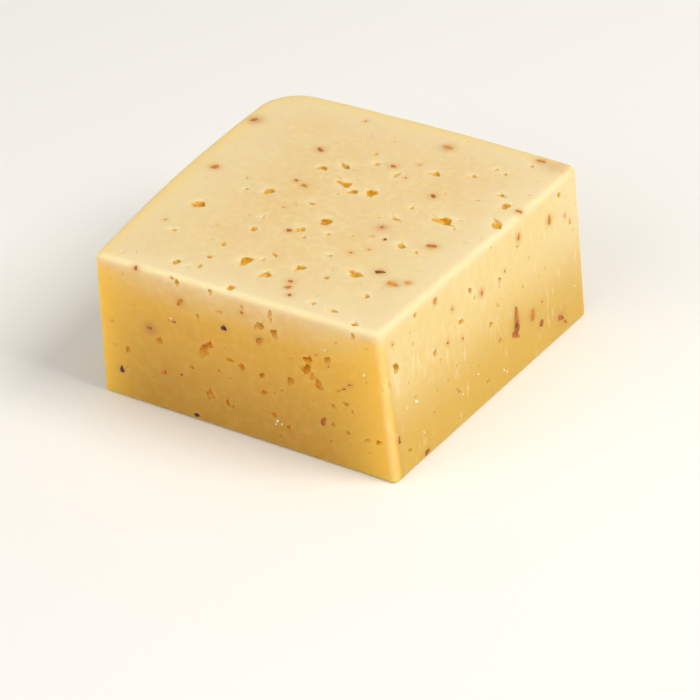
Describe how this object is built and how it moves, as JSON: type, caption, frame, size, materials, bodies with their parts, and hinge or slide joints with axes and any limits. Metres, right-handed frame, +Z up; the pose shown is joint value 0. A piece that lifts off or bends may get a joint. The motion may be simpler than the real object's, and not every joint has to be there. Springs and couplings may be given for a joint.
{
  "type": "block of semi-hard cheese",
  "caption": "Free-standing rectangular block of pressed semi-hard cheese with small irregular holes, cut on three sides, rounded on its two outer sides, flat base to rest on.",
  "frame": {"origin": "middle of the flat base", "axes": "+Z up; +X is the leaning side cut; -Y is the front cut; -X and +Y are the two outer sides"},
  "size_m": [0.112, 0.1154, 0.05],
  "materials": {
    "pressed_curd": "pale cream-yellow pressed curd, softly waxy, warmer towards the outer sides",
    "spice_flake": "dry orange-brown to dark red flakes of spice, set flush in the cut faces"
  },
  "bodies": {
    "root": {"cheese_block": "pressed_curd"}
  },
  "joints": []
}
